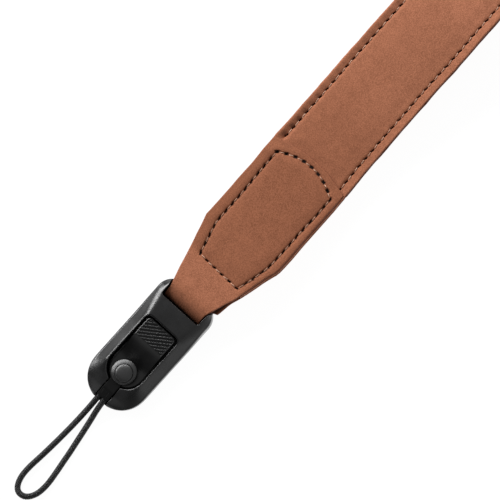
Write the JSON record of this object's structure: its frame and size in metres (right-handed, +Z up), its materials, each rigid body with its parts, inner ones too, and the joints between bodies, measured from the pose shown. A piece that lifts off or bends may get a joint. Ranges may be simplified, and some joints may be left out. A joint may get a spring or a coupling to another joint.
{
  "type": "camera wrist strap",
  "caption": "Leather wrist strap for a camera: a stitched band loop, a moulded quick-release buckle with a sprung release plate, and a thin braided cord loop on a round anchor.",
  "frame": {"origin": "middle of the strap's bounding box without the cord loop, on the surface it lies on", "axes": "+X along the strap from the cord loop to the far bend of the leather loop, +Y across it, +Z up out of the face"},
  "size_m": [0.2685, 0.03, 0.0218],
  "materials": {
    "housing_plastic": "black moulded nylon with a fine satin texture",
    "plate_plastic": "black moulded plastic, ribbed pad and smooth slope",
    "anchor_plastic": "smooth black plastic with a soft gloss",
    "cord_braid": "tight black braid",
    "tab_leather": "brown leather with a soft fine nap, stitched outline, unmarked",
    "face_leather": "brown leather with a soft fine nap, stitched near both edges",
    "lining_leather": "plain brown lining leather",
    "thread": "brown sewing thread"
  },
  "bodies": {
    "strap": {"buckle_housing": "housing_plastic", "anchor_base": "anchor_plastic", "anchor_cap": "anchor_plastic", "cord_loop": "cord_braid", "leather_tab": "tab_leather", "band_face": "face_leather", "band_lining": "lining_leather"},
    "plate": {"release_plate": "plate_plastic"}
  },
  "joints": [
    {"name": "plate_press", "type": "hinge", "parent": "strap", "child": "plate", "pos_m": [-0.1053, 0, 0.0025], "axis": [0, 1, 0], "range_deg": [0, 6], "stiffness_Nm_per_rad": 0.2, "springref_deg": -2.86}
  ]
}
